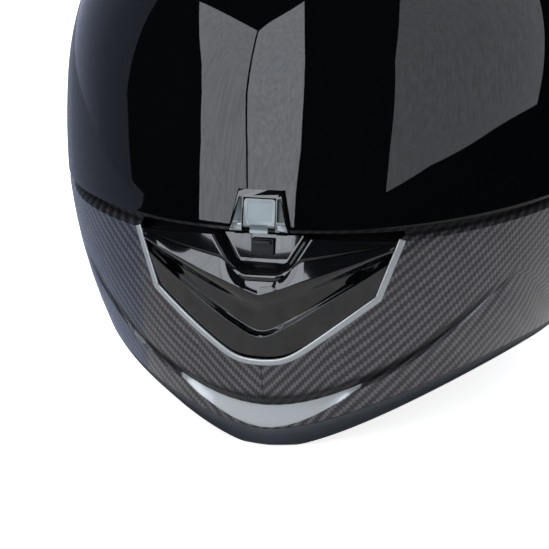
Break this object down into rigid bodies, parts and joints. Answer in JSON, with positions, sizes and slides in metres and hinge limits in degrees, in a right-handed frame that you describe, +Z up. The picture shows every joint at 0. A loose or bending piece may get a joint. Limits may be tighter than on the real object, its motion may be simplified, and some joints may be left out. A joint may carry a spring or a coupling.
{
  "type": "full face motorcycle helmet",
  "caption": "Full face helmet: woven-carbon shell with chin bar and V vent, lifting dark visor with centre latch, vents, foam liner, pads and buckled chin strap.",
  "frame": {"origin": "centre of the helmet's outline on the surface it stands on, under the crown", "axes": "+Z up, the face looks along -Y, +X is the wearer's left"},
  "size_m": [0.2568, 0.3274, 0.253],
  "materials": {
    "shell_carbon": "clear-coated twill carbon laminate",
    "edge_rubber": "satin moulded rubber",
    "seal_rubber": "matt soft rubber",
    "visor_smoke": "hard-coated dark smoke polycarbonate",
    "lens_clear": "clear moulded sheet",
    "black_plastic": "fine-grained moulding",
    "gloss_black": "polished black moulding",
    "grey_plastic": "satin grey moulding",
    "satin_chrome": "satin plated moulding",
    "steel": "brushed",
    "foam": "expanded bead foam",
    "lining": "knitted comfort lining",
    "strap_web": "woven webbing",
    "red_plastic": "moulded red"
  },
  "bodies": {
    "helmet": {"outer_shell": "shell_carbon", "edge_trim": "edge_rubber", "eyeport_gasket": "seal_rubber", "latch_catch": "black_plastic", "chin_vent_cover": "gloss_black", "chin_vent_scoop": "gloss_black", "chin_vent_bezel": "satin_chrome", "chin_vent_duct": "black_plastic", "chin_vent_mesh": "steel", "visor_base_left": "black_plastic", "visor_base_right": "black_plastic", "base_screws": "steel", "pivot_cap_left": "black_plastic", "pivot_cap_right": "black_plastic", "brow_vent_left": "gloss_black", "brow_vent_right": "gloss_black", "rear_spoiler": "gloss_black", "exhaust_grille_left": "black_plastic", "exhaust_grille_right": "black_plastic", "impact_liner": "foam", "chin_foam": "foam", "cheek_foam_left": "foam", "cheek_foam_right": "foam", "cheek_pad_left": "lining", "cheek_pad_right": "lining", "crown_pad": "lining", "neck_roll": "lining", "chin_curtain": "lining", "breath_guard": "seal_rubber", "pad_snaps": "steel", "strap_left": "strap_web", "strap_right": "strap_web", "strap_sleeve_left": "lining", "strap_sleeve_right": "lining", "strap_anchors": "steel", "buckle_body": "steel", "buckle_pin": "steel", "buckle_tongue": "black_plastic"},
    "visor": {"visor": "visor_smoke", "visor_bushes": "black_plastic", "antifog_lens": "lens_clear", "lens_pins": "lens_clear", "latch_frame": "black_plastic", "latch_pin": "steel"},
    "latch_lever": {"latch_lever": "grey_plastic"},
    "chin_vent_shutter": {"chin_vent_shutter": "black_plastic"},
    "brow_slider_left": {"brow_slider_left": "black_plastic"},
    "brow_slider_right": {"brow_slider_right": "black_plastic"},
    "rear_vent_slider": {"rear_vent_slider": "black_plastic"},
    "release_tab_left": {"release_tab_left": "red_plastic"},
    "release_tab_right": {"release_tab_right": "red_plastic"},
    "buckle_lever": {"buckle_lever": "red_plastic"}
  },
  "joints": [
    {"name": "visor_lift", "type": "hinge", "parent": "helmet", "child": "visor", "pos_m": [0, 0.0044, 0.142], "axis": [-1, 0, 0], "range_deg": [0, 52]},
    {"name": "latch_lever_press", "type": "hinge", "parent": "visor", "child": "latch_lever", "pos_m": [0, -0.16138, 0.10361], "axis": [1, 0, 0], "range_deg": [0, 25], "stiffness_Nm_per_rad": 0.05, "springref_deg": -17.19},
    {"name": "shutter_slide", "type": "slide", "parent": "helmet", "child": "chin_vent_shutter", "axis": [0, 0, 1], "range_m": [0, 0.011]},
    {"name": "brow_slider_left_slide", "type": "slide", "parent": "helmet", "child": "brow_slider_left", "axis": [-0.3124, 0.7516, 0.581], "range_m": [0, 0.007]},
    {"name": "brow_slider_right_slide", "type": "slide", "parent": "helmet", "child": "brow_slider_right", "axis": [0.3124, 0.7516, 0.581], "range_m": [0, 0.007]},
    {"name": "rear_vent_slide", "type": "slide", "parent": "helmet", "child": "rear_vent_slider", "axis": [1, 0, 0], "range_m": [0, 0.014]},
    {"name": "release_tab_left_pull", "type": "slide", "parent": "helmet", "child": "release_tab_left", "axis": [0, 0, -1], "range_m": [0, 0.004], "stiffness_N_per_m": 400, "springref_m": -0.003},
    {"name": "release_tab_right_pull", "type": "slide", "parent": "helmet", "child": "release_tab_right", "axis": [0, 0, -1], "range_m": [0, 0.004], "stiffness_N_per_m": 400, "springref_m": -0.003},
    {"name": "buckle_lever_lift", "type": "hinge", "parent": "helmet", "child": "buckle_lever", "pos_m": [0.029, -0.022, 0.0152], "axis": [0, 1, 0], "range_deg": [0, 40], "stiffness_Nm_per_rad": 0.1, "springref_deg": -17.19}
  ]
}
